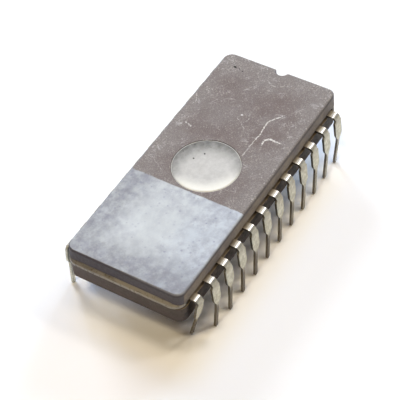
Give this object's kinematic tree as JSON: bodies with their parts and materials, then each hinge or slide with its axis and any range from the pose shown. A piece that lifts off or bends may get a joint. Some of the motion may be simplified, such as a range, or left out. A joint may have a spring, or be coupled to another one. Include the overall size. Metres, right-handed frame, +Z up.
{
  "type": "windowed ceramic memory chip",
  "caption": "Ceramic dual in-line chip body with a round flush window, an end notch and formed, tapered leads along both sides, the near corner lead bent in.",
  "frame": {"origin": "on the surface the lead tips stand on, under the middle of the body", "axes": "+X along the body away from the index notch, +Y towards the row of leads 13 to 24, +Z up out of the window"},
  "size_m": [0.0324, 0.0164, 0.0088],
  "materials": {
    "ceramic": "matte, fine-grained, brown",
    "seal_glass": "satin, tan and grey, fused",
    "window": "milky, polished",
    "window_seal": "satin",
    "tinned_lead": "tinned, slightly tarnished",
    "die_attach": "matte, silver-filled glass",
    "silicon": "polished silicon",
    "bond_wire": "drawn wire"
  },
  "bodies": {
    "root": {"bond_wire_01": "bond_wire", "bond_wire_02": "bond_wire", "bond_wire_03": "bond_wire", "bond_wire_04": "bond_wire", "bond_wire_05": "bond_wire", "bond_wire_06": "bond_wire", "bond_wire_07": "bond_wire", "bond_wire_08": "bond_wire", "bond_wire_09": "bond_wire", "bond_wire_10": "bond_wire", "bond_wire_11": "bond_wire", "bond_wire_12": "bond_wire", "bond_wire_13": "bond_wire", "bond_wire_14": "bond_wire", "bond_wire_15": "bond_wire", "bond_wire_16": "bond_wire", "bond_wire_17": "bond_wire", "bond_wire_18": "bond_wire", "bond_wire_19": "bond_wire", "bond_wire_20": "bond_wire", "bond_wire_21": "bond_wire", "bond_wire_22": "bond_wire", "bond_wire_23": "bond_wire", "bond_wire_24": "bond_wire", "ceramic_base": "ceramic", "ceramic_cap": "ceramic", "die_attach": "die_attach", "lead_01": "tinned_lead", "lead_02": "tinned_lead", "lead_03": "tinned_lead", "lead_04": "tinned_lead", "lead_05": "tinned_lead", "lead_06": "tinned_lead", "lead_07": "tinned_lead", "lead_08": "tinned_lead", "lead_09": "tinned_lead", "lead_10": "tinned_lead", "lead_11": "tinned_lead", "lead_12": "tinned_lead", "lead_13": "tinned_lead", "lead_14": "tinned_lead", "lead_15": "tinned_lead", "lead_16": "tinned_lead", "lead_17": "tinned_lead", "lead_18": "tinned_lead", "lead_19": "tinned_lead", "lead_20": "tinned_lead", "lead_21": "tinned_lead", "lead_22": "tinned_lead", "lead_23": "tinned_lead", "lead_24": "tinned_lead", "seal_glass": "seal_glass", "silicon_die": "silicon", "uv_window": "window", "window_seal": "window_seal"}
  },
  "joints": []
}
